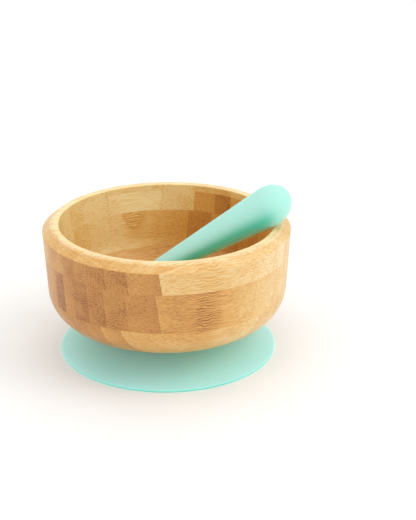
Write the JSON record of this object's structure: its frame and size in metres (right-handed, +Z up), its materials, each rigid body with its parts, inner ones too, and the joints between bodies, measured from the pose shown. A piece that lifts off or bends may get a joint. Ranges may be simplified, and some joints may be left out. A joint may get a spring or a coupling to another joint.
{
  "type": "suction bowl",
  "caption": "Round toddler bowl turned from laminated bamboo strips, on a silicone suction ring that snaps onto its foot, with a soft one-piece feeding spoon.",
  "frame": {"origin": "on the bowl's axis, in the plane of the table under the suction ring's seal band", "axes": "+Z up along the bowl's axis; -Y is the front; the spoon's handle lies over the rim on the +X side and the release tab is on the +Y side"},
  "size_m": [0.13, 0.138, 0.0907],
  "materials": {
    "bamboo": "satin lacquered laminated bamboo, end grain at the sides and long grain at the front and back",
    "ring_silicone": "soft matt food-grade silicone, slightly translucent mint",
    "spoon_silicone": "soft matt food-grade silicone, slightly translucent mint"
  },
  "bodies": {
    "skirt": {"suction_skirt": "ring_silicone"},
    "neck": {"snap_neck": "ring_silicone"},
    "tab": {"release_tab": "ring_silicone"},
    "bowl": {"bottom_board_strip_01": "bamboo", "bottom_board_strip_02": "bamboo", "bottom_board_strip_03": "bamboo", "bottom_board_strip_04": "bamboo", "bottom_board_strip_05": "bamboo", "bottom_board_strip_06": "bamboo", "bottom_board_strip_07": "bamboo", "bottom_board_strip_08": "bamboo", "bottom_board_strip_09": "bamboo", "bottom_board_strip_10": "bamboo", "bottom_board_strip_11": "bamboo", "bottom_board_strip_12": "bamboo", "bottom_board_strip_13": "bamboo", "bottom_board_strip_14": "bamboo", "bottom_board_strip_15": "bamboo", "bottom_board_strip_16": "bamboo", "middle_board_strip_01": "bamboo", "middle_board_strip_02": "bamboo", "middle_board_strip_03": "bamboo", "middle_board_strip_04": "bamboo", "middle_board_strip_05": "bamboo", "middle_board_strip_06": "bamboo", "middle_board_strip_07": "bamboo", "middle_board_strip_08": "bamboo", "middle_board_strip_09": "bamboo", "middle_board_strip_10": "bamboo", "middle_board_strip_11": "bamboo", "middle_board_strip_12": "bamboo", "middle_board_strip_13": "bamboo", "middle_board_strip_14": "bamboo", "middle_board_strip_15": "bamboo", "middle_board_strip_16": "bamboo", "top_board_strip_01": "bamboo", "top_board_strip_02": "bamboo", "top_board_strip_03": "bamboo", "top_board_strip_04": "bamboo", "top_board_strip_05": "bamboo", "top_board_strip_06": "bamboo", "top_board_strip_07": "bamboo", "top_board_strip_08": "bamboo", "top_board_strip_09": "bamboo", "top_board_strip_10": "bamboo", "top_board_strip_11": "bamboo", "top_board_strip_12": "bamboo", "top_board_strip_13": "bamboo", "top_board_strip_14": "bamboo", "top_board_strip_15": "bamboo", "top_board_strip_16": "bamboo"},
    "spoon": {"spoon": "spoon_silicone"}
  },
  "joints": [
    {"name": "suction_press", "type": "slide", "parent": "skirt", "child": "neck", "axis": [0, 0, 1], "range_m": [-0.005, 0], "stiffness_N_per_m": 2500, "springref_m": 0.003, "deforming": ["suction_skirt"]},
    {"name": "bowl_lift", "type": "slide", "parent": "neck", "child": "bowl", "axis": [0, 0, 1], "range_m": [0, 0.0485], "deforming": ["snap_neck"]},
    {"name": "spoon_lift", "type": "slide", "parent": "bowl", "child": "spoon", "axis": [0.4605, 0, 0.8876], "range_m": [0, 0.0847]},
    {"name": "tab_pull", "type": "hinge", "parent": "skirt", "child": "tab", "pos_m": [0, 0.0575, 0.0016], "axis": [1, 0, 0], "range_deg": [0, 60], "stiffness_Nm_per_rad": 0.02, "springref_deg": -11.46}
  ]
}
